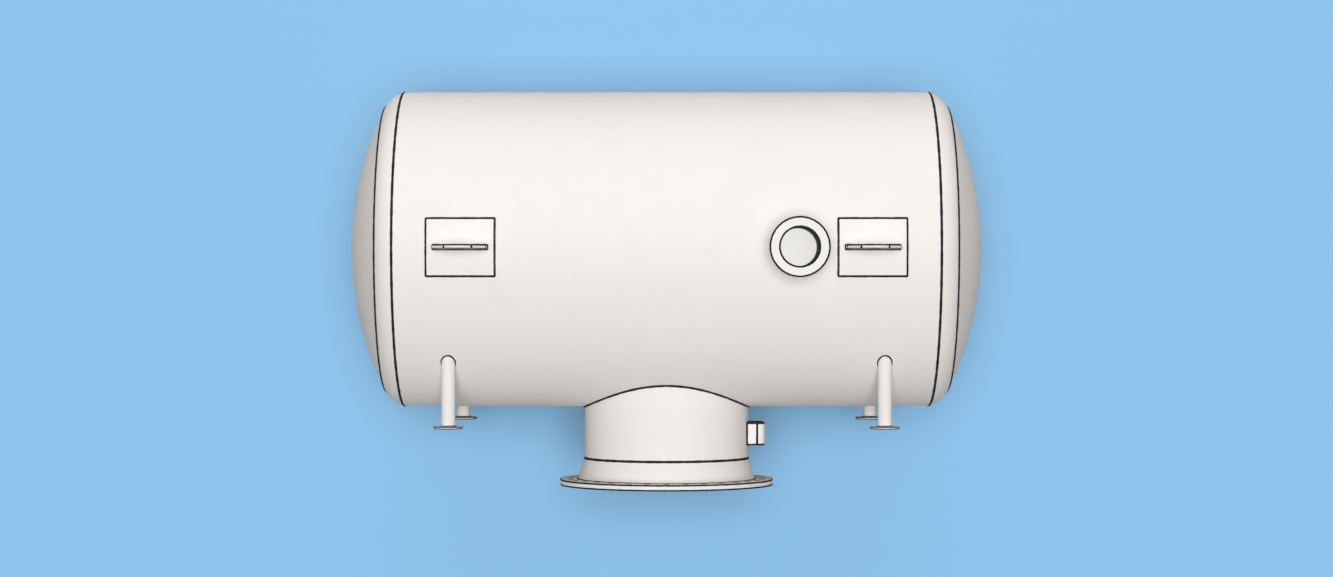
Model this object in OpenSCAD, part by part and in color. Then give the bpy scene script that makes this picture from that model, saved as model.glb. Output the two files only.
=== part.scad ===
// Horizontal pressure vessel on two saddles, in millimetres
// +X runs along the vessel, +Z is up, the large side nozzle points to -Y
// The origin lies on the floor, midway between the four anchor holes

/* [Shell] */
// Outside diameter of the shell
shell_od = 2100; // [1600:10:3000]
// Length of the shell between its two head seams
seam_length = 3500; // [3300:10:6000]
// Plate thickness of the shell and the heads
plate = 12; // [6:1:25]
// Height of the vessel axis above the floor
axis_height = 1400; // [1200:10:2200]

/* [Heads] */
// Outside radius of the crown
crown_r = 2100; // [1700:10:2800]
// Outside radius of the knuckle
knuckle_r = 177; // [100:1:260]
// Start of the knuckle that is trimmed off at the seam
head_trim = 38; // [0:1:60]

/* [Lifting lugs] */
// Distance of each lug from the head seam
lug_inset = 438; // [300:1:500]
// Pad that shows past each end of the lug
pad_margin = 46.5; // [20:0.5:80]
// Width of the pad across the vessel
pad_width = 368; // [200:1:500]
// Thickness of the pad
pad_plate = 12; // [6:1:25]
// Width of the lug at its foot
lug_foot = 344; // [260:1:370]
// Height of the straight sides of the lug
lug_side = 120; // [40:1:150]
// Height of the lug hole above the pad
lug_hole_z = 154; // [140:1:200]
// Diameter of the lug hole
lug_hole_d = 90; // [40:1:110]
// Plate left round the lug hole
lug_edge = 68; // [40:1:90]
// Thickness of the lug plate
lug_plate = 24; // [12:1:40]

/* [Top nozzle] */
// Distance of the top nozzle from the right lug
top_from_lug = 475; // [450:1:900]
// Height of the flange face above the shell
top_rise = 281; // [150:1:400]
// Outside diameter of the neck pipe
top_neck_od = 273; // [168.3:0.1:323.9]
// Wall thickness of the neck pipe
top_wall = 15.5; // [6:0.1:20]
// How far the flange ring stands out from the neck
top_ring = 56; // [25:1:70]
// Thickness of the flange ring
top_flange_t = 30; // [16:1:50]
// How far the neck reaches inside the shell
top_inside = 65; // [10:1:90]
// Clearance between the neck and its hole in the shell
top_fit = 0.3; // [0.1:0.1:0.8]

/* [Large side nozzle] */
// Length of the neck from the shell to the hub
side_neck_length = 345; // [280:1:600]
// Outside diameter of the neck
side_neck_od = 1095; // [700:1:1300]
// Plate thickness of the neck
side_neck_plate = 14; // [8:1:25]
// Thickness of the flange ring
side_flange_t = 42; // [25:1:70]
// Length of the tapered hub behind the flange ring
hub_length = 139; // [60:1:180]
// How far the hub grows beyond the neck in radius
hub_growth = 45; // [15:1:50]
// Distance from the hub to the bolt circle
side_bolt_gap = 54; // [40:1:80]
// Distance from the bolt circle to the rim
side_rim = 64.5; // [40:0.5:90]
// Number of bolt holes in the flange
side_bolts = 32; // [16:4:40]
// Diameter of the bolt holes
side_hole_d = 38; // [20:1:45]
// Height of the raised gasket face
side_raise = 3; // [1:0.5:8]
// Distance from the bolt holes to the gasket face
side_gasket_gap = 12; // [4:1:25]

/* [Neck bracket] */
// Distance of the bracket from the hub
bracket_gap = 87; // [30:1:120]
// Length of the bracket along the neck
bracket_length = 154; // [80:1:200]
// Height of the bracket
bracket_height = 254; // [150:1:300]
// Distance that the bracket's face stands off the neck
bracket_stand = 108; // [60:1:150]
// Outside radius of the bracket's bends
bracket_bend = 52; // [15:1:58]
// Plate thickness of the bracket
bracket_plate = 8; // [4:1:12]

/* [Gauge nozzles] */
// Distance of the gauge nozzles from the head seam
gauge_inset = 341; // [200:1:450]
// Angle of the gauge nozzles above and below the axis
gauge_angle = 45; // [35:1:50]
// Distance of the gauge flange faces beyond the shell
gauge_reach = 119; // [60:1:300]
// Outside diameter of the gauge pipe
gauge_od = 88.9; // [48.3:0.1:114.3]
// Wall thickness of the gauge pipe
gauge_wall = 7.6; // [3:0.1:10]
// Thickness of the gauge flange
gauge_flange_t = 16; // [10:1:30]
// Distance from the gauge pipe to the bolt circle
gauge_bolt_gap = 31.75; // [20:0.05:50]
// Distance from the gauge bolt circle to the rim
gauge_rim = 18.8; // [14:0.1:30]
// Number of bolt holes in the gauge flange
gauge_bolts = 4; // [4:4:8]
// Diameter of the gauge bolt holes
gauge_hole_d = 19; // [12:1:20]
// Height of the raised gasket face of the gauge flange
gauge_raise = 2; // [1:0.5:5]
// Distance from the gauge bolt holes to the gasket face
gauge_gasket_gap = 3.2; // [2:0.1:8]

/* [Saddles] */
// Distance of each saddle from the head seam
saddle_inset = 700; // [450:1:900]
// Wrap of the wear plate round the shell in degrees
saddle_wrap = 120; // [100:1:140]
// Width of the wear plate along the vessel
wear_width = 360; // [280:1:420]
// Thickness of the wear plate
wear_plate = 12; // [6:1:20]
// Distance of the outer ribs from the ends of the wear plate
horn = 70; // [40:1:120]
// Width of the base plate along the vessel
base_width = 260; // [220:1:320]
// Thickness of the base plate
base_plate = 20; // [12:1:40]
// Base plate that shows past the web and the ribs
base_margin = 25; // [15:1:40]
// Base plate that shows past the outer ribs
base_overhang = 50; // [30:1:120]
// Plate thickness of the web and the ribs
web_plate = 16; // [8:1:25]
// Distance of the inner ribs from the middle of the saddle
inner_rib_y = 298; // [200:1:400]
// Spacing of the anchor holes across the vessel
anchor_span = 1240; // [1000:10:1300]
// Diameter of the anchor holes
anchor_d = 28; // [18:1:40]

/* [Hidden] */
$fn = 240;
paint = [0.93, 0.91, 0.88];
over = 1;
shell_r = shell_od / 2;
seam_x = seam_length / 2;
far = 2 * shell_od;

// Head curves: the crown arc runs into the knuckle arc without a corner
knuckle_ring_r = shell_r - knuckle_r;
crown_angle = asin(knuckle_ring_r / (crown_r - knuckle_r));
crown_back = head_trim + (crown_r - knuckle_r) * cos(crown_angle);

pad_r = shell_r + pad_plate;
pad_length = lug_foot + 2 * pad_margin;
lug_x = seam_x - lug_inset;
lug_half = lug_foot / 2;
lug_top_r = lug_hole_d / 2 + lug_edge;
lug_turn = atan2(lug_side - lug_hole_z, lug_half)
    + acos(lug_top_r / norm([lug_half, lug_side - lug_hole_z]));

top_x = lug_x - top_from_lug;
top_bore = top_neck_od - 2 * top_wall;
top_flange_od = top_neck_od + 2 * top_ring;
top_face_r = shell_r + top_rise;
top_inner_r = shell_r - plate - top_inside;

side_bore = side_neck_od - 2 * side_neck_plate;
side_pcd = side_neck_od + 2 * (hub_growth + side_bolt_gap);
side_flange_od = side_pcd + 2 * side_rim;
side_weld_r = shell_r + side_neck_length;
side_back_r = side_weld_r + hub_length;
side_face_r = side_back_r + side_flange_t;
side_gasket_od = side_pcd - side_hole_d - 2 * side_gasket_gap;
bracket_end_r = side_weld_r - bracket_gap;

gauge_x = seam_x - gauge_inset;
gauge_bore = gauge_od - 2 * gauge_wall;
gauge_pcd = gauge_od + 2 * gauge_bolt_gap;
gauge_flange_od = gauge_pcd + 2 * gauge_rim;
gauge_face_r = shell_r + gauge_reach;
gauge_gasket_od = gauge_pcd - gauge_hole_d - 2 * gauge_gasket_gap;
gauge_z = shell_r * sin(gauge_angle);

wear_r = shell_r + wear_plate;
outer_rib_y = wear_r * sin(saddle_wrap / 2) - horn;
saddle_x = seam_x - saddle_inset;
web_x = saddle_x - base_width / 2 + base_margin;
rib_x = web_x + web_plate;
rib_width = base_width - 2 * base_margin - web_plate;
anchor_x = rib_x + rib_width / 2;

// Helpers

// A cylinder lying along the vessel axis, centred on the middle of the vessel
module along(radius, length) {
    translate([0, 0, axis_height]) rotate([0, 90, 0]) cylinder(r = radius, h = length, center = true);
}

// A cylinder that points to -Y, from one distance from the axis to another
module sideways(x, z, diameter, from, to) {
    translate([x, -from, axis_height + z]) rotate([90, 0, 0]) cylinder(d = diameter, h = to - from);
}

// A cylinder that stands on the vessel, from one distance from the axis to another
module upright(x, diameter, from, to) {
    translate([x, 0, axis_height + from]) cylinder(d = diameter, h = to - from);
}

// Draws its child at the right end, or mirrored at the left end
module at_end(side) {
    mirror([side < 0 ? 1 : 0, 0, 0]) children();
}

// Turns a head profile about the vessel axis, with its foot on the right seam
module turned() {
    translate([seam_x, 0, axis_height]) rotate([0, 90, 0]) rotate_extrude() children();
}

// A piece of plate curved round the shell, cut to a box that its child gives
module curved_plate(x, width, inner, outer) {
    intersection() {
        difference() {
            translate([x, 0, 0]) along(outer, width);
            translate([x, 0, 0]) along(inner, width + 2 * over);
        }
        children();
    }
}

// Shell and heads

module shell_body() {
    difference() {
        along(shell_r, seam_length);
        along(shell_r - plate, seam_length + 2 * over);
        upright(top_x, top_neck_od + 2 * top_fit, 0, top_face_r);
        sideways(0, 0, side_bore, 0, side_face_r);
        for (side = [-1, 1], level = [-1, 1])
            sideways(side * gauge_x, level * gauge_z, gauge_bore, 0, gauge_face_r);
    }
}

// Knuckle: a ring of plate on the outer arc, from the seam to the crown line
module knuckle_profile() {
    inset = knuckle_ring_r + head_trim * tan(crown_angle);
    reach = 2 * knuckle_r;
    intersection() {
        translate([knuckle_ring_r, -head_trim]) difference() {
            circle(r = knuckle_r);
            circle(r = knuckle_r - plate);
        }
        polygon([[inset, 0], [shell_r + reach, 0], [shell_r + reach, reach * cos(crown_angle)],
            [inset + reach * sin(crown_angle), reach * cos(crown_angle)]]);
    }
}

// Crown: a piece of a hollow ball, cut square to its surface; the ball's seam is turned away from it
module crown_ball() {
    reach = 2 * crown_r;
    translate([seam_x - crown_back, 0, axis_height]) intersection() {
        rotate([0, 0, 180]) difference() {
            sphere(r = crown_r);
            sphere(r = crown_r - plate);
        }
        rotate([0, 90, 0]) cylinder(h = reach * cos(crown_angle), r1 = 0, r2 = reach * sin(crown_angle));
    }
}

module knuckle_ring(side) { at_end(side) turned() knuckle_profile(); }
module crown_plate(side) { at_end(side) crown_ball(); }

// Lifting lugs

module lug_pad(side) {
    curved_plate(side * lug_x, pad_length, shell_r, pad_r)
        translate([side * lug_x, 0, axis_height + pad_r])
            cube([2 * pad_length, pad_width, 2 * shell_r], center = true);
}

// Straight foot, tapering sides and a round top that the tapers touch
module lug_profile() {
    touch_x = lug_top_r * cos(lug_turn);
    touch_z = lug_hole_z + lug_top_r * sin(lug_turn);
    difference() {
        union() {
            polygon([[-lug_half, -pad_plate], [lug_half, -pad_plate], [lug_half, lug_side],
                [touch_x, touch_z], [-touch_x, touch_z], [-lug_half, lug_side]]);
            translate([0, lug_hole_z]) circle(r = lug_top_r);
        }
        translate([0, lug_hole_z]) circle(d = lug_hole_d);
    }
}

module lifting_lug(side) {
    difference() {
        translate([side * lug_x, lug_plate / 2, axis_height + pad_r])
            rotate([90, 0, 0]) linear_extrude(lug_plate) lug_profile();
        along(pad_r, far);
    }
}

// Nozzles

// A neck that is set through the shell and ends inside it
module top_neck() {
    difference() {
        upright(top_x, top_neck_od, top_inner_r, top_face_r - top_flange_t);
        upright(top_x, top_bore, 0, top_face_r);
    }
}

module top_flange() {
    difference() {
        upright(top_x, top_flange_od, top_face_r - top_flange_t, top_face_r);
        upright(top_x, top_bore, 0, top_face_r + over);
    }
}

// A neck that is cut to sit on the shell
module side_neck() {
    difference() {
        sideways(0, 0, side_neck_od, shell_r / 2, side_weld_r);
        sideways(0, 0, side_bore, 0, side_face_r);
        along(shell_r, far);
    }
}

// Ring with a tapered hub, bored through, with bolt holes on its centre lines
module side_flange() {
    difference() {
        union() {
            sideways(0, 0, side_flange_od, side_back_r, side_face_r);
            sideways(0, 0, side_gasket_od, side_back_r, side_face_r + side_raise);
            translate([0, -side_weld_r, axis_height]) rotate([90, 0, 0])
                cylinder(d1 = side_neck_od, d2 = side_neck_od + 2 * hub_growth, h = hub_length);
        }
        sideways(0, 0, side_bore, 0, side_face_r + side_raise + over);
        for (i = [0 : side_bolts - 1])
            sideways(side_pcd / 2 * cos(360 * i / side_bolts), side_pcd / 2 * sin(360 * i / side_bolts),
                side_hole_d, side_back_r - over, side_face_r + over);
    }
}

// Bent plate: two legs and a face, with round bends between them
module bracket_outline(shrink) {
    half = bracket_height / 2 - shrink;
    front = side_neck_od / 2 + bracket_stand - shrink;
    bend = bracket_bend - shrink;
    translate([0, -half]) square([front - bend, 2 * half]);
    translate([0, -half + bend]) square([front, 2 * (half - bend)]);
    for (level = [-1, 1]) translate([front - bend, level * (half - bend)]) circle(r = bend);
}

module bracket_body() {
    difference() {
        translate([0, bracket_length - bracket_end_r, axis_height]) rotate([90, 0, 0])
            linear_extrude(bracket_length) difference() {
                bracket_outline(0);
                bracket_outline(bracket_plate);
            }
        sideways(0, 0, side_neck_od, 0, side_face_r);
    }
}

module gauge_neck(side, level) {
    difference() {
        sideways(side * gauge_x, level * gauge_z, gauge_od, shell_r / 2, gauge_face_r - gauge_flange_t);
        sideways(side * gauge_x, level * gauge_z, gauge_bore, 0, gauge_face_r);
        along(shell_r, far);
    }
}

// Bolt holes straddle the centre lines
module gauge_flange(side, level) {
    difference() {
        union() {
            sideways(side * gauge_x, level * gauge_z, gauge_flange_od, gauge_face_r - gauge_flange_t, gauge_face_r);
            sideways(side * gauge_x, level * gauge_z, gauge_gasket_od, gauge_face_r - gauge_flange_t,
                gauge_face_r + gauge_raise);
        }
        sideways(side * gauge_x, level * gauge_z, gauge_bore, 0, gauge_face_r + gauge_raise + over);
        for (i = [0 : gauge_bolts - 1]) {
            turn = 360 * (i + 0.5) / gauge_bolts;
            sideways(side * gauge_x + gauge_pcd / 2 * cos(turn), level * gauge_z + gauge_pcd / 2 * sin(turn),
                gauge_hole_d, 0, gauge_face_r + over);
        }
    }
}

// Saddles

// Wedge below the axis that limits the wrap of the wear plate
module wrap_wedge() {
    reach = 2 * shell_r;
    half = saddle_wrap / 2;
    translate([0, 0, axis_height]) rotate([90, 0, 90]) linear_extrude(far, center = true)
        polygon([[0, 0], [-reach * sin(half), -reach * cos(half)],
            [0, -2 * reach], [reach * sin(half), -reach * cos(half)]]);
}

module wear_body(side) {
    curved_plate(side * saddle_x, wear_width, shell_r, wear_r) wrap_wedge();
}

// Web between the base plate and the wear plate, as wide as the outer ribs stand
module web_body(side) {
    half = outer_rib_y + web_plate / 2;
    at_end(side) difference() {
        translate([web_x, -half, base_plate]) cube([web_plate, 2 * half, axis_height - base_plate]);
        along(wear_r, far);
        translate([web_x - over, -far, axis_height - wear_r / 4]) cube([far, 2 * far, far]);
    }
}

module rib_body(side, y) {
    at_end(side) difference() {
        translate([rib_x, y - web_plate / 2, base_plate]) cube([rib_width, web_plate, axis_height - base_plate]);
        along(wear_r, far);
        translate([web_x - over, -far, axis_height - wear_r / 4]) cube([far, 2 * far, far]);
    }
}

module base_body(side) {
    half = outer_rib_y + base_overhang;
    at_end(side) difference() {
        translate([saddle_x - base_width / 2, -half, 0]) cube([base_width, 2 * half, base_plate]);
        for (turn = [-1, 1]) translate([anchor_x, turn * anchor_span / 2, -over])
            cylinder(d = anchor_d, h = base_plate + 2 * over);
    }
}

// Named pieces

module shell() color(paint) shell_body();
module left_knuckle_ring() color(paint) knuckle_ring(-1);
module right_knuckle_ring() color(paint) knuckle_ring(1);
module left_crown_plate() color(paint) crown_plate(-1);
module right_crown_plate() color(paint) crown_plate(1);
module left_lug_pad() color(paint) lug_pad(-1);
module right_lug_pad() color(paint) lug_pad(1);
module left_lifting_lug() color(paint) lifting_lug(-1);
module right_lifting_lug() color(paint) lifting_lug(1);
module top_nozzle_neck() color(paint) top_neck();
module top_nozzle_flange() color(paint) top_flange();
module side_nozzle_neck() color(paint) side_neck();
module side_nozzle_flange() color(paint) side_flange();
module neck_bracket() color(paint) bracket_body();
module left_upper_gauge_neck() color(paint) gauge_neck(-1, 1);
module left_upper_gauge_flange() color(paint) gauge_flange(-1, 1);
module right_upper_gauge_neck() color(paint) gauge_neck(1, 1);
module right_upper_gauge_flange() color(paint) gauge_flange(1, 1);
module left_lower_gauge_neck() color(paint) gauge_neck(-1, -1);
module left_lower_gauge_flange() color(paint) gauge_flange(-1, -1);
module right_lower_gauge_neck() color(paint) gauge_neck(1, -1);
module right_lower_gauge_flange() color(paint) gauge_flange(1, -1);
module left_wear_plate() color(paint) wear_body(-1);
module left_saddle_web() color(paint) web_body(-1);
module left_base_plate() color(paint) base_body(-1);
module left_front_outer_rib() color(paint) rib_body(-1, -outer_rib_y);
module left_front_inner_rib() color(paint) rib_body(-1, -inner_rib_y);
module left_back_inner_rib() color(paint) rib_body(-1, inner_rib_y);
module left_back_outer_rib() color(paint) rib_body(-1, outer_rib_y);
module right_wear_plate() color(paint) wear_body(1);
module right_saddle_web() color(paint) web_body(1);
module right_base_plate() color(paint) base_body(1);
module right_front_outer_rib() color(paint) rib_body(1, -outer_rib_y);
module right_front_inner_rib() color(paint) rib_body(1, -inner_rib_y);
module right_back_inner_rib() color(paint) rib_body(1, inner_rib_y);
module right_back_outer_rib() color(paint) rib_body(1, outer_rib_y);

shell();
left_knuckle_ring();
right_knuckle_ring();
left_crown_plate();
right_crown_plate();
left_lug_pad();
right_lug_pad();
left_lifting_lug();
right_lifting_lug();
top_nozzle_neck();
top_nozzle_flange();
side_nozzle_neck();
side_nozzle_flange();
neck_bracket();
left_upper_gauge_neck();
left_upper_gauge_flange();
right_upper_gauge_neck();
right_upper_gauge_flange();
left_lower_gauge_neck();
left_lower_gauge_flange();
right_lower_gauge_neck();
right_lower_gauge_flange();
left_wear_plate();
left_saddle_web();
left_base_plate();
left_front_outer_rib();
left_front_inner_rib();
left_back_inner_rib();
left_back_outer_rib();
right_wear_plate();
right_saddle_web();
right_base_plate();
right_front_outer_rib();
right_front_inner_rib();
right_back_inner_rib();
right_back_outer_rib();
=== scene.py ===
import math
import bmesh
import bpy
from mathutils import Matrix, Vector


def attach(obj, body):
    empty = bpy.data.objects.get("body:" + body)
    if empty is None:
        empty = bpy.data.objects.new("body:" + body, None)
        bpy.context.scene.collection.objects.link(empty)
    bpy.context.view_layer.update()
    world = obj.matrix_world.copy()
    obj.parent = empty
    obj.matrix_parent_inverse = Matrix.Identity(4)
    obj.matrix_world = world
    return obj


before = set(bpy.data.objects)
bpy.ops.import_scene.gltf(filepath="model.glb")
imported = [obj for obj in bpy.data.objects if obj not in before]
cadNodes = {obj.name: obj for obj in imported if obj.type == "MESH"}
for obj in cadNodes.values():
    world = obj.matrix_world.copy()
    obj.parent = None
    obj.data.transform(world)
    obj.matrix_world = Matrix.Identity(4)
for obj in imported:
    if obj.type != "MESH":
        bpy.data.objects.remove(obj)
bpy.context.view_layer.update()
scene = bpy.context.scene
scene.view_settings.view_transform = "Standard"
print("frame loaded:", len(cadNodes), "nodes")

# places and sizes that several pieces share, in metres, as in the part's source
vessel = {"radius": 1.05, "axisZ": 1.4, "padRadius": 1.062, "wearRadius": 1.062}
lug = {"x": 1.312, "halfPlate": 0.012, "halfLength": 0.172, "padHalfX": 0.2185, "padHalfY": 0.184}
bracket = {"yFrom": -1.154, "yTo": -1.308}
bothEnds = (("left", -1), ("right", 1))
sideways, upwards = Vector((0, -1, 0)), Vector((0, 0, 1))  # the two ways that nozzles point


# camera straight above the vessel, picture up is +Y
shot = {"lens": 81.583, "sensor": 36.0, "y": -0.2627, "height": 21.642}

camData = bpy.data.cameras.new("photoCamera")
camData.lens = shot["lens"]
camData.sensor_width = shot["sensor"]
camera = bpy.data.objects.new("photoCamera", camData)
camera.location = (0, shot["y"], shot["height"])
scene.collection.objects.link(camera)
scene.camera = camera
print("camera set")


# small helpers for node trees

def addNode(tree, kind, **values):
    made = tree.nodes.new(kind)
    for key, value in values.items():
        setattr(made, key, value)
    return made


def setInputs(made, **values):
    for key, value in values.items():
        made.inputs[key.replace("_", " ")].default_value = value
    return made


# sockets named Vector and Normal are vectors, all others are plain values
def newGroup(name, inputs, outputs):
    tree = bpy.data.node_groups.new(name, "ShaderNodeTree")
    for way, labels in (("INPUT", inputs), ("OUTPUT", outputs)):
        for label in labels:
            kind = "NodeSocketVector" if label in ("Vector", "Normal") else "NodeSocketFloat"
            tree.interface.new_socket(label, in_out=way, socket_type=kind)
    return tree, tree.nodes.new("NodeGroupInput").outputs, tree.nodes.new("NodeGroupOutput").inputs


def useGroup(tree, group, **values):
    return setInputs(addNode(tree, "ShaderNodeGroup", node_tree=group), **values)


def newMaterial(name, **values):
    material = bpy.data.materials.new(name)
    material.use_nodes = True
    tree = material.node_tree
    return material, tree, setInputs(tree.nodes["Principled BSDF"], **values)


def maths(tree, operation, first, second=None, third=None):
    made = addNode(tree, "ShaderNodeMath", operation=operation)
    for index, value in enumerate((first, second, third)):
        if value is None:
            continue
        if isinstance(value, (int, float)):
            made.inputs[index].default_value = value
        else:
            tree.links.new(value, made.inputs[index])
    return made.outputs[0]


def diagonal(tree, first, second):
    squares = [maths(tree, "POWER", value, 2.0) for value in (first, second)]
    return maths(tree, "SQRT", maths(tree, "ADD", *squares))


def splitAxes(tree, vector):
    made = tree.nodes.new("ShaderNodeSeparateXYZ")
    tree.links.new(vector, made.inputs[0])
    return made.outputs


def ramp(tree, value, low, high, fromLow, fromHigh):
    made = addNode(tree, "ShaderNodeMapRange", interpolation_type="SMOOTHSTEP")
    setInputs(made, From_Min=fromLow, From_Max=fromHigh, To_Min=low, To_Max=high)
    tree.links.new(value, made.inputs["Value"])
    return made.outputs["Result"]


def fadeIn(tree, value, span):
    return ramp(tree, value, 0.0, 1.0, *span)


def fadeOut(tree, value, span):
    return ramp(tree, value, 1.0, 0.0, *span)


def noise(tree, vector, scale, detail, roughness=0.55):
    made = setInputs(tree.nodes.new("ShaderNodeTexNoise"), Scale=scale, Detail=detail, Roughness=roughness)
    tree.links.new(vector, made.inputs["Vector"])
    return made.outputs["Fac"]


def blend(tree, fac, first, second):
    made = addNode(tree, "ShaderNodeMix", data_type="RGBA")
    tree.links.new(fac, made.inputs["Factor"])
    for socket, value in ((made.inputs[6], first), (made.inputs[7], second)):  # colour sockets A and B
        if isinstance(value, tuple):
            socket.default_value = value
        else:
            tree.links.new(value, socket)
    return made.outputs[2]


def addBump(tree, shader, height, strength, depth):
    bump = setInputs(tree.nodes.new("ShaderNodeBump"), Strength=strength, Distance=depth)
    tree.links.new(height, bump.inputs["Height"])
    tree.links.new(bump.outputs["Normal"], shader.inputs["Normal"])


# in the looks below a noise is (scale, detail, roughness), and a span is where a mask starts and where it ends

# paint film: sprayed tone, orange peel, sheen and a few specks of grit
filmLook = {"wide": (1.1, 4.0), "middle": (11.0, 4.0), "peel": (210.0, 2.0), "grit": (150.0, 2.0),
            "wideShare": 0.65, "middleShare": 0.35, "toneSpan": (0.3, 0.7), "roughness": (0.52, 0.66),
            "gritSpan": (0.70, 0.78), "gritLift": 0.8}


def makePaintFilm():
    tree, given, out = newGroup("paintFilm", ["Vector"], ["Tone", "Roughness", "Height", "Speck"])
    wide, middle, peel, grit = (noise(tree, given["Vector"], *filmLook[name])
                                for name in ("wide", "middle", "peel", "grit"))
    tone = maths(tree, "ADD", maths(tree, "MULTIPLY", wide, filmLook["wideShare"]),
                 maths(tree, "MULTIPLY", middle, filmLook["middleShare"]))
    speck = fadeIn(tree, grit, filmLook["gritSpan"])
    tree.links.new(fadeIn(tree, tone, filmLook["toneSpan"]), out["Tone"])
    tree.links.new(ramp(tree, middle, *filmLook["roughness"], *filmLook["toneSpan"]), out["Roughness"])
    tree.links.new(maths(tree, "MULTIPLY_ADD", speck, filmLook["gritLift"], peel), out["Height"])
    tree.links.new(speck, out["Speck"])
    return tree


# dust that settles on what faces up, in loose patches
dustLook = {"patches": (2.6, 6.0, 0.65), "patchSpan": (0.42, 0.74), "upSpan": (0.55, 1.0)}


def makeDustFall():
    tree, given, out = newGroup("dustFall", ["Vector", "Normal"], ["Mask"])
    upward = fadeIn(tree, splitAxes(tree, given["Normal"])["Z"], dustLook["upSpan"])
    patches = fadeIn(tree, noise(tree, given["Vector"], *dustLook["patches"]), dustLook["patchSpan"])
    tree.links.new(maths(tree, "MULTIPLY", upward, patches), out["Mask"])
    return tree


# marks that rain leaves down the steep sides
runLook = {"stretch": (17.0, 17.0, 0.9), "streaks": (1.0, 5.0, 0.6), "streakSpan": (0.54, 0.82),
           "flatSpan": (0.25, 0.95)}


def makeRunMarks():
    tree, given, out = newGroup("runMarks", ["Vector", "Normal"], ["Mask"])
    flat = maths(tree, "ABSOLUTE", splitAxes(tree, given["Normal"])["Z"])
    drawn = setInputs(tree.nodes.new("ShaderNodeMapping"), Scale=runLook["stretch"])
    tree.links.new(given["Vector"], drawn.inputs["Vector"])
    streaks = fadeIn(tree, noise(tree, drawn.outputs["Vector"], *runLook["streaks"]), runLook["streakSpan"])
    tree.links.new(maths(tree, "MULTIPLY", fadeOut(tree, flat, runLook["flatSpan"]), streaks), out["Mask"])
    return tree


# how far a rubbed edge wanders: broad waves with small chips in them
rubLook = {"broad": (28.0, 3.0), "broadSpan": (0.32, 0.68), "chips": (85.0, 1.5), "chipSpan": (0.3, 0.7),
           "rimSpread": 0.07, "lineSpread": 0.10, "boltSpread": 0.03,
           "edgeSpan": (0.75, 1.25), "boltSpan": (0.92, 1.08)}


def wander(tree, vector, spread):
    half = spread / 2
    broad = ramp(tree, noise(tree, vector, *rubLook["broad"]), 1 - half, 1 + half, *rubLook["broadSpan"])
    chips = ramp(tree, noise(tree, vector, *rubLook["chips"]), 1 - spread, 1 + spread, *rubLook["chipSpan"])
    return maths(tree, "MULTIPLY", broad, chips)


# paint rubbed off round a rim: the vector is centred, with the rim's axis along Z
def makeRimRub():
    tree, given, out = newGroup("rimRub", ["Vector", "Radius", "Level", "Width", "Depth"], ["Mask"])
    spot = splitAxes(tree, given["Vector"])
    offRim = maths(tree, "SUBTRACT", diagonal(tree, spot["X"], spot["Y"]), given["Radius"])
    offLevel = maths(tree, "SUBTRACT", spot["Z"], given["Level"])
    away = diagonal(tree, maths(tree, "DIVIDE", offRim, given["Width"]),
                    maths(tree, "DIVIDE", offLevel, given["Depth"]))
    share = maths(tree, "DIVIDE", away, wander(tree, given["Vector"], rubLook["rimSpread"]))
    tree.links.new(fadeOut(tree, share, rubLook["edgeSpan"]), out["Mask"])
    return tree


# paint rubbed off along a line: where a coordinate comes near a level
def makeLineRub():
    tree, given, out = newGroup("lineRub", ["Vector", "Value", "Level", "Width"], ["Mask"])
    away = maths(tree, "ABSOLUTE", maths(tree, "SUBTRACT", given["Value"], given["Level"]))
    width = maths(tree, "MULTIPLY", given["Width"], wander(tree, given["Vector"], rubLook["lineSpread"]))
    tree.links.new(fadeOut(tree, maths(tree, "DIVIDE", away, width), rubLook["edgeSpan"]), out["Mask"])
    return tree


# paint rubbed off in and round the bolt holes of a ring that is centred, with its axis along Z
def makeBoltRub():
    tree, given, out = newGroup("boltRub", ["Vector", "Circle", "Step", "Start", "Reach"], ["Mask"])
    spot = splitAxes(tree, given["Vector"])
    around = diagonal(tree, spot["X"], spot["Y"])
    turn = maths(tree, "SUBTRACT", maths(tree, "ARCTAN2", spot["Y"], spot["X"]), given["Start"])
    nearest = maths(tree, "ROUND", maths(tree, "DIVIDE", turn, given["Step"]))
    folded = maths(tree, "SUBTRACT", turn, maths(tree, "MULTIPLY", nearest, given["Step"]))
    outward = maths(tree, "MULTIPLY", around, maths(tree, "COSINE", folded))
    beside = maths(tree, "MULTIPLY", around, maths(tree, "SINE", folded))
    away = diagonal(tree, maths(tree, "SUBTRACT", outward, given["Circle"]), beside)
    reach = maths(tree, "MULTIPLY", given["Reach"], wander(tree, given["Vector"], rubLook["boltSpread"]))
    tree.links.new(fadeOut(tree, maths(tree, "DIVIDE", away, reach), rubLook["boltSpan"]), out["Mask"])
    return tree


# ripples, scale and heat tint on a weld run
skinLook = {"pits": (340.0, 3.0), "pitShare": 0.3, "crestSpan": (0.0, 1.0), "heat": (9.0, 4.0),
            "heatSpan": (0.35, 0.7), "scale": (38.0, 3.0), "scaleSpan": (0.3, 0.7), "roughness": (0.5, 0.72)}


def makeWeldSkin():
    tree, given, out = newGroup("weldSkin", ["Vector", "Crest"], ["Height", "Tint", "Roughness"])
    pits, heat, scale = (noise(tree, given["Vector"], *skinLook[name]) for name in ("pits", "heat", "scale"))
    crest = fadeIn(tree, given["Crest"], skinLook["crestSpan"])
    tree.links.new(maths(tree, "MULTIPLY_ADD", pits, skinLook["pitShare"], crest), out["Height"])
    tree.links.new(fadeIn(tree, heat, skinLook["heatSpan"]), out["Tint"])
    tree.links.new(ramp(tree, scale, *skinLook["roughness"], *skinLook["scaleSpan"]), out["Roughness"])
    return tree


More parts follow.
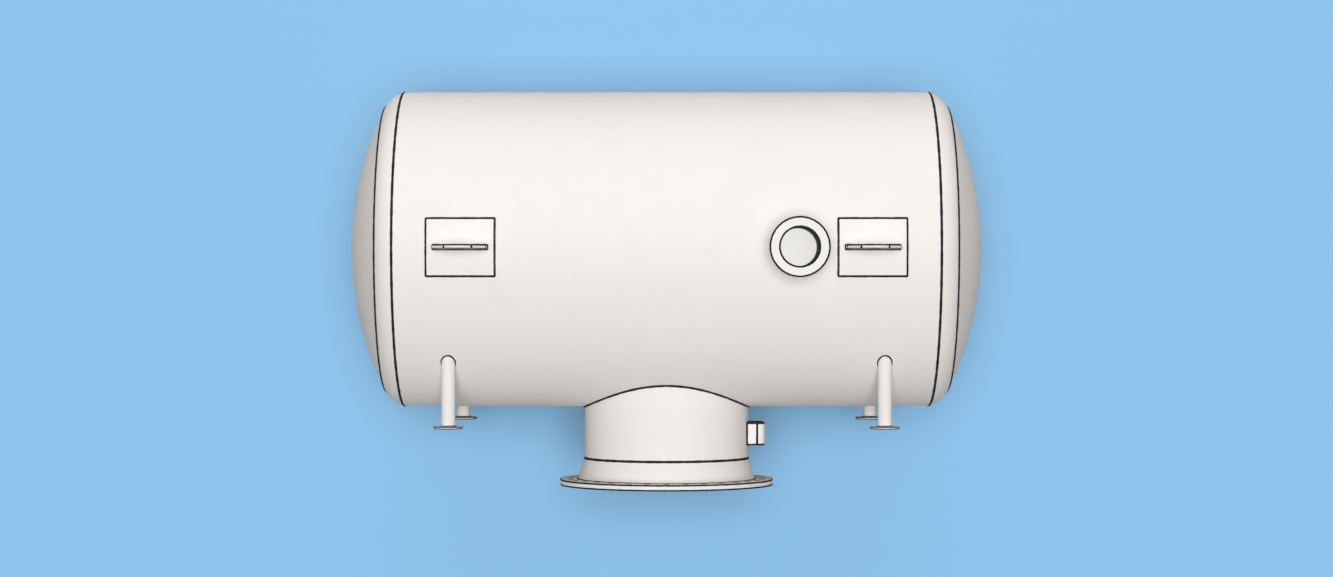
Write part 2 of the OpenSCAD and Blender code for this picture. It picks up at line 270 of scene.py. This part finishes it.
paintFilm = makePaintFilm()
dustFall = makeDustFall()
runMarks = makeRunMarks()
rimRub = makeRimRub()
lineRub = makeLineRub()
boltRub = makeBoltRub()
weldSkin = makeWeldSkin()
print("shader groups made")


# off-white shop paint, with dust, rain marks and grit on it and primer and steel under it
paintLook = {
    "colour": (0.875, 0.842, 0.804, 1), "shade": (0.855, 0.819, 0.777, 1), "gloss": 0.11, "film": 0.0006,
    "bump": 0.35, "dust": (0.74, 0.70, 0.64, 1), "dustShare": 0.12, "runs": (0.60, 0.56, 0.50, 1),
    "runsShare": 0.22, "speck": (0.50, 0.46, 0.41, 1), "speckShare": 0.4, "primer": (0.24, 0.22, 0.20, 1),
    "primerSpan": (0.12, 0.28), "bare": (0.014, 0.013, 0.012, 1), "bareSpan": (0.42, 0.58), "bareDull": 0.12,
    "facingSpan": (0.3, 0.6),
}


def layCoat(tree, where, facing):
    film, dust, runs = (useGroup(tree, group) for group in (paintFilm, dustFall, runMarks))
    for made in (film, dust, runs):
        tree.links.new(where, made.inputs["Vector"])
    for made in (dust, runs):
        tree.links.new(facing, made.inputs["Normal"])
    colour = blend(tree, film.outputs["Tone"], paintLook["colour"], paintLook["shade"])
    for layer, made, mask in (("dust", dust, "Mask"), ("runs", runs, "Mask"), ("speck", film, "Speck")):
        amount = maths(tree, "MULTIPLY", made.outputs[mask], paintLook[layer + "Share"])
        colour = blend(tree, amount, colour, paintLook[layer])
    return colour, film.outputs["Roughness"], film.outputs["Height"]


def centred(tree, where, centre, turn):
    shifted = setInputs(tree.nodes.new("ShaderNodeMapping"), Location=tuple(-c for c in centre))
    tree.links.new(where, shifted.inputs["Vector"])
    turned = setInputs(tree.nodes.new("ShaderNodeMapping"), Rotation=turn)
    tree.links.new(shifted.outputs["Vector"], turned.inputs["Vector"])
    return turned.outputs["Vector"]


# rims are (radius, level, reach on the face, reach on the side) about the centre, with the axis turned to Z
def rimMarks(tree, local, rims, bolts):
    rubs = [useGroup(tree, rimRub, Radius=radius, Level=level, Width=width, Depth=depth)
            for radius, level, width, depth in rims]
    if bolts:
        rubs.append(useGroup(tree, boltRub, **bolts))
    for rub in rubs:
        tree.links.new(local, rub.inputs["Vector"])
    return [rub.outputs["Mask"] for rub in rubs]


# lines are (axis, level, width, axes that the marked faces don't face)
def lineMarks(tree, where, facing, lines):
    spot, normal = splitAxes(tree, where), splitAxes(tree, facing)
    marks = []
    for axis, level, width, across in lines:
        rub = useGroup(tree, lineRub, Level=level, Width=width)
        tree.links.new(where, rub.inputs["Vector"])
        tree.links.new(spot[axis], rub.inputs["Value"])
        mark = rub.outputs["Mask"]
        for other in across:
            turnedAway = fadeOut(tree, maths(tree, "ABSOLUTE", normal[other]), paintLook["facingSpan"])
            mark = maths(tree, "MULTIPLY", turnedAway, mark)
        marks.append(mark)
    return marks


# unpainted pipe wall: mill scale with a few brown stains, dark enough to stand as painted shade inside the bore
boreScaleAndShade = {"scale": (0.034, 0.033, 0.032, 1), "stain": (0.085, 0.068, 0.054, 1), "stains": (16.0, 6.0, 0.65),
            "stainSpan": (0.42, 0.72), "edge": (0.001, 0.002), "dull": 0.15}


def pipeWallScaleAndShade(tree, local, radial, bore):
    wall = fadeOut(tree, radial, [bore + past for past in boreScaleAndShade["edge"]])
    stain = fadeIn(tree, noise(tree, local, *boreScaleAndShade["stains"]), boreScaleAndShade["stainSpan"])
    return wall, blend(tree, stain, boreScaleAndShade["scale"], boreScaleAndShade["stain"])


# turned gasket face: bare steel with fine rings
gasketLook = {"light": (0.60, 0.59, 0.575, 1), "dark": (0.50, 0.49, 0.475, 1), "clouds": (24.0, 4.0),
              "cloudSpan": (0.35, 0.65), "groove": (0.30, 0.29, 0.28, 1), "grooveShare": 0.3, "pitch": 0.0016,
              "metal": 0.2, "smooth": 0.1, "rimEdge": (-0.001, 0.001), "faceEdge": (-0.0012, -0.0004)}


def gasketFace(tree, local, radial, level, ring):
    inside = fadeOut(tree, radial, [ring["gasket"] + past for past in gasketLook["rimEdge"]])
    front = fadeIn(tree, level, [ring["gasketY"] + past for past in gasketLook["faceEdge"]])
    waves = maths(tree, "SINE", maths(tree, "MULTIPLY", radial, 2 * math.pi / gasketLook["pitch"]))
    rings = maths(tree, "MULTIPLY_ADD", waves, 0.5, 0.5)
    clouds = fadeIn(tree, noise(tree, local, *gasketLook["clouds"]), gasketLook["cloudSpan"])
    steel = blend(tree, clouds, gasketLook["light"], gasketLook["dark"])
    steel = blend(tree, maths(tree, "MULTIPLY", rings, gasketLook["grooveShare"]), steel, gasketLook["groove"])
    return maths(tree, "MULTIPLY", inside, front), steel, rings


def makePaint(name, rims=(), lines=(), bolts=None, centre=None, turn=(0, 0, 0), faceRing=None, bore=None):
    material, tree, shader = newMaterial(name, Specular_IOR_Level=paintLook["gloss"])
    where = tree.nodes.new("ShaderNodeTexCoord").outputs["Object"]
    facing = tree.nodes.new("ShaderNodeNewGeometry").outputs["Normal"]
    colour, roughness, height = layCoat(tree, where, facing)
    marks = []
    if centre:
        local = centred(tree, where, centre, turn)
        marks += rimMarks(tree, local, rims, bolts)
    if lines:
        marks += lineMarks(tree, where, facing, lines)
    if bore or faceRing:
        spot = splitAxes(tree, local)
        radial = diagonal(tree, spot["X"], spot["Y"])
    # the bore's wall turns dark: mill scale, and painted shade inside the bore
    if bore:
        wall, scale = pipeWallScaleAndShade(tree, local, radial, bore)
        colour = blend(tree, wall, colour, scale)
        roughness = maths(tree, "MULTIPLY_ADD", wall, boreScaleAndShade["dull"], roughness)
    if faceRing:
        metal, steel, rings = gasketFace(tree, local, radial, spot["Z"], faceRing)
        colour = blend(tree, metal, colour, steel)
        height = maths(tree, "ADD", height, maths(tree, "MULTIPLY", rings, metal))
        roughness = maths(tree, "SUBTRACT", roughness, maths(tree, "MULTIPLY", metal, gasketLook["smooth"]))
        tree.links.new(maths(tree, "MULTIPLY", metal, gasketLook["metal"]), shader.inputs["Metallic"])
    if marks:
        # a thin line of primer shows between the paint and the bare edge
        worn = marks[0]
        for mark in marks[1:]:
            worn = maths(tree, "MAXIMUM", worn, mark)
        bare = fadeIn(tree, worn, paintLook["bareSpan"])
        colour = blend(tree, fadeIn(tree, worn, paintLook["primerSpan"]), colour, paintLook["primer"])
        colour = blend(tree, bare, colour, paintLook["bare"])
        roughness = maths(tree, "ADD", roughness, maths(tree, "MULTIPLY", bare, paintLook["bareDull"]))
        height = maths(tree, "SUBTRACT", height, bare)
    tree.links.new(colour, shader.inputs["Base Color"])
    tree.links.new(roughness, shader.inputs["Roughness"])
    addBump(tree, shader, height, paintLook["bump"], paintLook["film"])
    return material


# bare weld runs: dark scale with a brown heat tint
weldLook = {"colour": (0.010, 0.0095, 0.009, 1), "tint": (0.030, 0.024, 0.019, 1), "gloss": 0.16,
            "ripple": 0.0022, "bump": 0.8}


def makeWeldMetal():
    material, tree, shader = newMaterial("weldScale", Specular_IOR_Level=weldLook["gloss"])
    skin = useGroup(tree, weldSkin)
    crest = addNode(tree, "ShaderNodeAttribute", attribute_name="crest")
    tree.links.new(tree.nodes.new("ShaderNodeTexCoord").outputs["Object"], skin.inputs["Vector"])
    tree.links.new(crest.outputs["Fac"], skin.inputs["Crest"])
    colour = blend(tree, skin.outputs["Tint"], weldLook["colour"], weldLook["tint"])
    tree.links.new(colour, shader.inputs["Base Color"])
    tree.links.new(skin.outputs["Roughness"], shader.inputs["Roughness"])
    addBump(tree, shader, skin.outputs["Height"], weldLook["bump"], weldLook["ripple"])
    return material


weldScale = makeWeldMetal()


# materials of the CAD nodes
def dress(names, material):
    for name in names:
        slots = cadNodes[name].data.materials
        slots.clear()
        slots.append(material)


def rim(ring, radius, level, face="faceRub", side="sideRub"):
    return ring[radius], ring[level], ring[face], ring[side]


def boltHoles(ring, start):
    step = 2 * math.pi / ring["bolts"]
    reach = ring["hole"] + ring["holeRub"]
    return {"Circle": ring["circle"], "Step": step, "Start": start * step, "Reach": reach}


def linePair(axis, middle, half, rub, across):
    return [(axis, middle + half, rub, across), (axis, middle - half, rub, across)]


toMinusY = (-math.pi / 2, 0, 0)  # turns -Y to +Z
topRing = {"x": 0.837, "faceZ": 2.731, "backZ": 2.701, "rim": 0.1925, "bore": 0.121, "faceRub": 0.011,
           "sideRub": 0.005}
sideRing = {"faceY": 1.576, "backY": 1.534, "rim": 0.711, "hub": 0.5925, "faceRub": 0.005, "sideRub": 0.0095,
            "hubRub": 0.004, "gasket": 0.6155, "gasketY": 1.579, "bolts": 32, "circle": 0.6465, "hole": 0.019,
            "holeRub": 0.004}
gaugeRing = {"x": 1.409, "z": 0.742462, "faceY": 1.169, "backY": 1.153, "rim": 0.095, "faceRub": 0.004,
             "sideRub": 0.0056, "gasket": 0.0635, "gasketY": 1.171, "bolts": 4, "circle": 0.0762,
             "hole": 0.0095, "holeRub": 0.003}
lugEdge = {"shoulder": 0.0882, "endZ": 2.582, "rub": 0.005, "endRub": 0.006}
padEdge = {"rub": 0.0055}
bracketEdge = {"bendX": 0.6035, "rub": 0.011, "bendRub": 0.007}

dress(cadNodes, makePaint("shopPaint"))
# the bore walls of the top neck and ring are darkened: mill scale, and painted shade inside the bore
dress(["top_nozzle_neck"], makePaint("topNeckPaint", centre=(topRing["x"], 0, 0), bore=topRing["bore"]))
dress(["top_nozzle_flange"], makePaint(
    "topRingPaint", centre=(topRing["x"], 0, 0), bore=topRing["bore"],
    rims=[rim(topRing, "rim", "faceZ"), rim(topRing, "bore", "faceZ"),
          rim(topRing, "rim", "backZ", face="sideRub")]))
dress(["side_nozzle_flange"], makePaint(
    "sideRingPaint", centre=(0, 0, vessel["axisZ"]), turn=toMinusY,
    rims=[rim(sideRing, "rim", "faceY"), rim(sideRing, "rim", "backY"),
          rim(sideRing, "hub", "backY", face="sideRub", side="hubRub")],
    bolts=boltHoles(sideRing, 0), faceRing=sideRing))
for side, sign in bothEnds:
    for level, rise in (("upper", 1), ("lower", -1)):
        dress([f"{side}_{level}_gauge_flange"], makePaint(
            f"{side}{level.title()}GaugePaint", turn=toMinusY,
            centre=(sign * gaugeRing["x"], 0, vessel["axisZ"] + rise * gaugeRing["z"]),
            rims=[rim(gaugeRing, "rim", "faceY"), rim(gaugeRing, "rim", "backY")],
            bolts=boltHoles(gaugeRing, 0.5), faceRing=gaugeRing))
for side, sign in bothEnds:
    lugX = sign * lug["x"]
    dress([side + "_lifting_lug"], makePaint(
        side + "LugPaint", centre=(lugX, 0, 0),
        rims=[(lug["halfLength"], lugEdge["endZ"], lugEdge["endRub"], lugEdge["endRub"])],
        lines=(linePair("Y", 0, lug["halfPlate"], lugEdge["rub"], "Y")
               + linePair("X", lugX, lugEdge["shoulder"], lugEdge["rub"], "Y"))))
    dress([side + "_lug_pad"], makePaint(
        side + "PadPaint", lines=(linePair("X", lugX, lug["padHalfX"], padEdge["rub"], "X")
                                  + linePair("Y", 0, lug["padHalfY"], padEdge["rub"], "Y"))))
dress(["neck_bracket"], makePaint(
    "bracketPaint", lines=[("Y", bracket["yFrom"], bracketEdge["rub"], "Y"),
                           ("Y", bracket["yTo"], bracketEdge["rub"], "Y"),
                           ("X", bracketEdge["bendX"], bracketEdge["bendRub"], "XY")]))
print("CAD nodes painted")


def newObject(name, mesh, material):
    data = bpy.data.meshes.new(name)
    mesh.to_mesh(data)
    mesh.free()
    data.materials.append(material)
    made = bpy.data.objects.new(name, data)
    scene.collection.objects.link(made)
    return made


# weld runs: a sheet is rolled round a path of (point, outward) pairs, and every second row dips between ripples
# a hand-laid run is never even, so it swells in waves of (share, radians to the metre, start)
ripple = {"step": 0.0045, "dip": 0.76, "narrow": 0.96, "curl": 0.0045,
          "swells": ((0.06, 41, 0), (0.05, 97, 1))}


def beadFrame(point, outward, along, run, travelled, dips):
    out = (outward - along * outward.dot(along)).normalized()
    hand = 1 + sum(share * math.sin(travelled * waves + start) for share, waves, start in ripple["swells"])
    width = run["halfWidth"] * hand * (ripple["narrow"] if dips else 1)
    height = run["height"] * hand * (ripple["dip"] if dips else 1)
    made = Matrix((along.cross(out) * width, out * height, along)).transposed().to_4x4()
    made.translation = point
    return made


def drawBead(mesh, path, run, closed):
    crest = mesh.verts.layers.float.get("crest") or mesh.verts.layers.float.new("crest")
    count, sides = len(path), run["sides"]
    frames, travelled = [], 0.0
    for i, (point, outward) in enumerate(path):
        before = path[(i - 1) % count][0] if closed or i else point
        after = path[(i + 1) % count][0] if closed or i < count - 1 else point
        frames.append(beadFrame(point, outward, (after - before).normalized(), run, travelled, i % 2))
        travelled += (after - point).length
    rows = count if closed else count - 1
    sheet = bmesh.ops.create_grid(mesh, x_segments=sides, y_segments=rows, size=0.5)["verts"]
    for v in sheet:
        a = 2 * math.pi * round((v.co.x + 0.5) * sides) / sides
        row = round((v.co.y + 0.5) * rows) % count
        lag = -ripple["curl"] * math.cos(a) ** 2  # the edges of a ripple lag behind its middle
        v.co = frames[row] @ Vector((math.cos(a), math.sin(a), lag))
        v[crest] = 1 - row % 2


def finishPiece(name, mesh, material):
    bmesh.ops.remove_doubles(mesh, verts=mesh.verts, dist=1e-6)
    bmesh.ops.holes_fill(mesh, edges=[e for e in mesh.edges if e.is_boundary], sides=0)
    bmesh.ops.recalc_face_normals(mesh, faces=mesh.faces)
    for face in mesh.faces:
        face.smooth = True
    piece = newObject(name, mesh, material)
    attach(piece, "root")


def weldPiece(name, paths, run, closed=True):
    mesh = bmesh.new()
    for path in paths:
        drawBead(mesh, path, run, closed)
    finishPiece(name, mesh, weldScale)


# angles round a circle, an even number of ripple steps apart
def angles(radius):
    count = 2 * round(math.pi * radius / ripple["step"])
    return [2 * math.pi * i / count for i in range(count)]


# butt welds round the vessel axis
def hoopPath(x, radius, lean):
    path = []
    for a in angles(radius):
        radial = Vector((0, math.cos(a), math.sin(a)))
        point = Vector((x, 0, vessel["axisZ"])) + radial * radius
        path.append((point, radial * math.cos(lean) + Vector((math.sin(lean) * math.copysign(1, x), 0, 0))))
    return path


headSeam = {"x": 1.750, "radius": 1.0475, "lean": 0.35, "halfWidth": 0.0095, "height": 0.005, "sides": 10}
crownSeam = {"x": 1.8693, "radius": 0.9533, "lean": math.radians(63), "halfWidth": 0.0138, "height": 0.006,
             "sides": 10}

for seamName, seam in (("HeadWeld", headSeam), ("CrownWeld", crownSeam)):
    for side, sign in bothEnds:
        weldPiece(side + seamName, [hoopPath(sign * seam["x"], seam["radius"], seam["lean"])], seam)
print("head welds done")


# where a neck meets the shell: the neck runs along its axis, off the middle by a shift along beside
def neckPath(x, shift, radius, axis, beside):
    path = []
    for a in angles(radius):
        offset = shift + radius * math.sin(a)
        onShell = beside * offset + axis * math.sqrt(vessel["radius"] ** 2 - offset ** 2)
        neckOut = Vector((math.cos(a), 0, 0)) + beside * math.sin(a)
        point = Vector((x + radius * math.cos(a), 0, vessel["axisZ"])) + onShell
        path.append((point, (onShell.normalized() + neckOut).normalized()))
    return path


# a level circle round a neck, leaning from the neck's side towards its end
def collarPath(centre, axis, radius, lean):
    turn = upwards.rotation_difference(axis).to_matrix()
    path = []
    for a in angles(radius):
        radial = turn @ Vector((math.cos(a), math.sin(a), 0))
        path.append((centre + radial * radius, radial * math.cos(lean) + axis * math.sin(lean)))
    return path


filletLean = -math.radians(45)  # a fillet behind a ring faces half way back to the shell
sideNeck = {"radius": 0.5475, "halfWidth": 0.010, "height": 0.010, "sides": 10}
hubSeam = {"y": 1.395, "lean": -0.08, "halfWidth": 0.0095, "height": 0.004, "sides": 10}
topNeck = {"radius": 0.1365, "halfWidth": 0.008, "height": 0.008, "sides": 10}
topCollar = {"halfWidth": 0.007, "height": 0.007, "sides": 10}
gaugeNeck = {"radius": 0.04445, "halfWidth": 0.0066, "height": 0.0066, "sides": 8}

hubMiddle = Vector((0, -hubSeam["y"], vessel["axisZ"]))
ringMiddle = Vector((topRing["x"], 0, topRing["backZ"]))
weldPiece("sideNeckWeld", [neckPath(0, 0, sideNeck["radius"], sideways, upwards)], sideNeck)
weldPiece("sideHubWeld", [collarPath(hubMiddle, sideways, sideNeck["radius"], hubSeam["lean"])], hubSeam)
weldPiece("topNeckWeld", [neckPath(topRing["x"], 0, topNeck["radius"], upwards, -sideways)], topNeck)
weldPiece("topRingWeld", [collarPath(ringMiddle, upwards, topNeck["radius"], filletLean)], topCollar)
for side, sign in bothEnds:
    for level, rise in (("Upper", 1), ("Lower", -1)):
        x, z = sign * gaugeRing["x"], rise * gaugeRing["z"]
        gaugeMiddle = Vector((x, -gaugeRing["backY"], vessel["axisZ"] + z))
        weldPiece(side + level + "GaugeWeld", [
            neckPath(x, z, gaugeNeck["radius"], sideways, upwards),
            collarPath(gaugeMiddle, sideways, gaugeNeck["radius"], filletLean)], gaugeNeck)
print("nozzle welds done")


# fillet welds round plates: a rectangle with small round corners, laid on a curved surface
def plateOutline(halfX, halfY, corner):
    spanX, spanY = halfX - corner, halfY - corner
    outline = []
    for start, cx, cy, reach in ((0, 1, 1, 2 * spanX), (90, -1, 1, 2 * spanY),
                                 (180, -1, -1, 2 * spanX), (270, 1, -1, 2 * spanY)):
        for bend in (0, 30, 60, 90):  # degrees round the corner
            a = math.radians(start + bend)
            spot = Vector((cx * spanX + corner * math.cos(a), cy * spanY + corner * math.sin(a)))
            normal = Vector((math.cos(a), math.sin(a)))
            outline.append((spot, normal))
        along = Vector((-normal.y, normal.x))
        pieces = max(1, round(reach / ripple["step"]))
        for i in range(1, pieces):
            outline.append((spot + along * (reach * i / pieces), normal))
    return outline


# outline drawn on top of the vessel, at a radius round its axis
def crestPath(x, outline, radius):
    path = []
    for spot, normal in outline:
        rise = math.sqrt(radius ** 2 - spot.y ** 2)
        out = Vector((0, spot.y, rise)).normalized()
        beside = Vector((normal.x, normal.y, 0))
        path.append((Vector((x + spot.x, spot.y, vessel["axisZ"] + rise)), (out + beside).normalized()))
    return path


# outline drawn on the belly of the vessel: the second value is an arc length from the bottom
def bellyPath(x, outline, radius):
    path = []
    for spot, normal in outline:
        a = spot.y / radius
        out = Vector((0, math.sin(a), -math.cos(a)))
        beside = Vector((normal.x, normal.y * math.cos(a), normal.y * math.sin(a)))
        path.append((Vector((x + spot.x, 0, vessel["axisZ"])) + out * radius, (out + beside).normalized()))
    return path


padBead = {"corner": 0.004, "halfWidth": 0.0085, "height": 0.0085, "sides": 8}
lugBead = {"corner": 0.002, "halfWidth": 0.009, "height": 0.009, "sides": 8}
wearBead = {"x": 1.05, "halfX": 0.18, "halfArc": vessel["radius"] * math.radians(60), "corner": 0.004,
            "halfWidth": 0.008, "height": 0.008, "sides": 8}

padOutline = plateOutline(lug["padHalfX"], lug["padHalfY"], padBead["corner"])
lugOutline = plateOutline(lug["halfLength"], lug["halfPlate"], lugBead["corner"])
wearOutline = plateOutline(wearBead["halfX"], wearBead["halfArc"], wearBead["corner"])
for side, sign in bothEnds:
    weldPiece(side + "PadWeld", [crestPath(sign * lug["x"], padOutline, vessel["radius"])], padBead)
    weldPiece(side + "LugWeld", [crestPath(sign * lug["x"], lugOutline, vessel["padRadius"])], lugBead)
    weldPiece(side + "WearWeld", [bellyPath(sign * wearBead["x"], wearOutline, vessel["radius"])], wearBead)
print("plate welds done")


# straight and curved runs in the corners of the saddles
saddle = {"webIn": 0.945, "webOut": 0.961, "ribOut": 1.155, "baseZ": 0.02, "outerRib": 0.84972,
          "innerRib": 0.298, "halfPlate": 0.008, "arcRatio": 1.15, "halfWidth": 0.006, "height": 0.006,
          "sides": 8}


def bellyZ(y):
    return vessel["axisZ"] - math.sqrt(vessel["wearRadius"] ** 2 - y ** 2)


def straightRun(start, end, out):
    start, end = Vector(start), Vector(end)
    steps = max(2, round((end - start).length / ripple["step"]))
    return [(start.lerp(end, t / steps), Vector(out).normalized()) for t in range(steps + 1)]


def bellyRun(x, outX, reach):
    path = []
    steps = round(2 * reach * saddle["arcRatio"] / ripple["step"])  # the arc is a little longer than its chord
    for i in range(steps + 1):
        y = reach * (2 * i / steps - 1)
        down = Vector((0, y, bellyZ(y) - vessel["axisZ"])).normalized()
        path.append((Vector((x, y, bellyZ(y))), (down + Vector((outX, 0, 0))).normalized()))
    return path


def saddleRuns(sign):
    webIn, webOut, ribOut = (sign * saddle[name] for name in ("webIn", "webOut", "ribOut"))
    base, webEnd = saddle["baseZ"], saddle["outerRib"] + saddle["halfPlate"]
    runs = [straightRun((webIn, -webEnd, base), (webIn, webEnd, base), (-sign, 0, 1)),
            bellyRun(webIn, -sign, webEnd)]
    for y in (-saddle["outerRib"], -saddle["innerRib"], saddle["innerRib"], saddle["outerRib"]):
        for face in (-1, 1):
            edge = y + face * saddle["halfPlate"]
            top = bellyZ(edge)
            runs.append(straightRun((webOut, edge, base), (ribOut, edge, base), (0, face, 1)))
            runs.append(straightRun((webOut, edge, top), (ribOut, edge, top), (0, face, -1)))
            if abs(edge) < saddle["outerRib"]:
                runs.append(straightRun((webOut, edge, base), (webOut, edge, top), (sign, face, 0)))
    return runs


for side, sign in bothEnds:
    weldPiece(side + "SaddleWeld", saddleRuns(sign), saddle, closed=False)
print("saddle welds done")


# the bracket's two legs are welded to the neck along their outer corners
bracketBead = {"z": 0.129, "stand": 0.003, "halfWidth": 0.0085, "height": 0.0085, "sides": 8}


def bracketRuns():
    x = math.sqrt(sideNeck["radius"] ** 2 - bracketBead["z"] ** 2) + bracketBead["stand"]
    runs = []
    for rise in (-1, 1):
        z = vessel["axisZ"] + rise * bracketBead["z"]
        runs.append(straightRun((x, bracket["yFrom"], z), (x, bracket["yTo"], z), (1, 0, rise)))
    return runs


weldPiece("bracketWeld", bracketRuns(), bracketBead, closed=False)
print("bracket welds done")


# floor: pale blue to the eye and in reflections, neutral to the light it throws back
floorLook = {"size": 40.0, "seen": (0.272, 0.531, 0.806, 1), "bounce": (0.34, 0.302, 0.270, 1),
             "roughness": 0.9, "gloss": 0.1}


def seenRays(tree):
    light = tree.nodes.new("ShaderNodeLightPath")
    seen = maths(tree, "MAXIMUM", light.outputs["Is Camera Ray"], light.outputs["Is Glossy Ray"])
    return maths(tree, "MAXIMUM", seen, light.outputs["Is Transmission Ray"])


def makeFloor():
    material, tree, shader = newMaterial("floorPaint", Roughness=floorLook["roughness"],
                                         Specular_IOR_Level=floorLook["gloss"])
    colour = blend(tree, seenRays(tree), floorLook["bounce"], floorLook["seen"])
    tree.links.new(colour, shader.inputs["Base Color"])
    mesh = bmesh.new()
    bmesh.ops.create_grid(mesh, x_segments=1, y_segments=1, size=floorLook["size"])
    floor = newObject("floor", mesh, material)


makeFloor()


# soft studio light from above and from the back, and two lamps inside so that the bores look into a pale room
coolWhite = (0.92, 0.965, 1.0)
keyLight = {"energy": 2.47, "angle": math.radians(30), "color": coolWhite}
backLight = {"tilt": 82, "energy": 1.05, "angle": math.radians(30)}
insideLight = {"place": (0, 0, 1.75), "energy": 11.5, "shape": "RECTANGLE", "size": 2.8, "size_y": 1.0,
               "color": coolWhite}
boreLight = {"place": (topRing["x"], 0, 2.33), "energy": 60, "spot_size": math.radians(26), "spot_blend": 1.0,
             "shadow_soft_size": 0.1, "color": coolWhite}
skyLook = {"fill": 0.26, "fillColour": (1.0, 0.88, 0.78, 1), "seen": (0.283, 0.555, 0.835, 1)}


def addLamp(name, kind, place=(0, 0, 0), tilt=0, **values):
    data = bpy.data.lights.new(name, kind)
    for key, value in values.items():
        setattr(data, key, value)
    lamp = bpy.data.objects.new(name, data)
    lamp.location = place
    lamp.rotation_euler = (-math.radians(tilt), 0, 0)
    scene.collection.objects.link(lamp)
    return lamp


def makeSky():
    world = bpy.data.worlds.new("studio")
    scene.world = world
    world.use_nodes = True
    tree = world.node_tree
    backdrop = tree.nodes["Background"]
    seen = seenRays(tree)
    strength = maths(tree, "MULTIPLY_ADD", seen, 1 - skyLook["fill"], skyLook["fill"])
    tree.links.new(blend(tree, seen, skyLook["fillColour"], skyLook["seen"]), backdrop.inputs["Color"])
    tree.links.new(strength, backdrop.inputs["Strength"])


addLamp("keyLight", "SUN", **keyLight)
addLamp("backLight", "SUN", **backLight)
for lamp in (addLamp("insideLight", "AREA", **insideLight), addLamp("boreLight", "SPOT", **boreLight)):
    lamp.visible_camera = False
makeSky()
print("floor and lights set")
